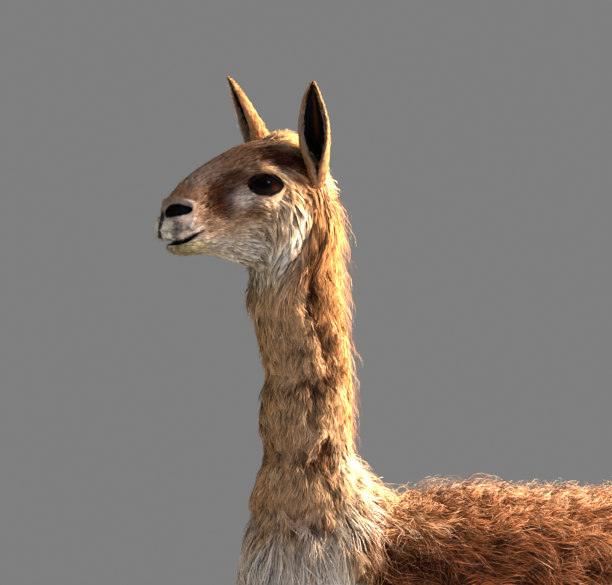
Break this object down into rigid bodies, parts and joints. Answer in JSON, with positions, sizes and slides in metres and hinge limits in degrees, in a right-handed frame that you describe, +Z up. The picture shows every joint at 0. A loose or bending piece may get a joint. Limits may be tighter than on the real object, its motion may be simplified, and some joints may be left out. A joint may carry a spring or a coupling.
{
  "type": "vicuna figure",
  "caption": "Life-size vicuna standing square, neck upright and ears pricked, with a white chest bib and a shaggy cinnamon fleece.",
  "frame": {"origin": "on the floor under the centre of the animal's overall box", "axes": "+Z up, -X the way the animal faces, -Y towards its left side"},
  "size_m": [1.0348, 0.3454, 1.3931],
  "materials": {
    "face": "short dense fur, greyed along the bridge and brown by the eye, matte",
    "coat": "fine tawny wool, paler down the throat, matte with a soft sheen",
    "bib": "long white and cream hair, soft sheen",
    "fleece": "shaggy cinnamon fleece with pale gold tips, matte",
    "leg": "short buff fur, matte",
    "eye": "wet black, mirror gloss",
    "nail": "dark horn, satin"
  },
  "bodies": {
    "root": {"head": "face", "neck": "coat", "chest_bib": "bib", "torso": "fleece", "tail": "leg", "ear_left": "coat", "ear_right": "coat", "eye_left": "eye", "eye_right": "eye", "forearm_left": "coat", "forearm_right": "coat", "fore_cannon_left": "coat", "fore_cannon_right": "coat", "thigh_left": "coat", "thigh_right": "coat", "hind_cannon_left": "coat", "hind_cannon_right": "coat", "fore_foot_left": "leg", "fore_foot_right": "leg", "hind_foot_left": "leg", "hind_foot_right": "leg", "fore_nail_outer_left": "nail", "fore_nail_outer_right": "nail", "fore_nail_inner_left": "nail", "fore_nail_inner_right": "nail", "hind_nail_outer_left": "nail", "hind_nail_outer_right": "nail", "hind_nail_inner_left": "nail", "hind_nail_inner_right": "nail"}
  },
  "joints": []
}
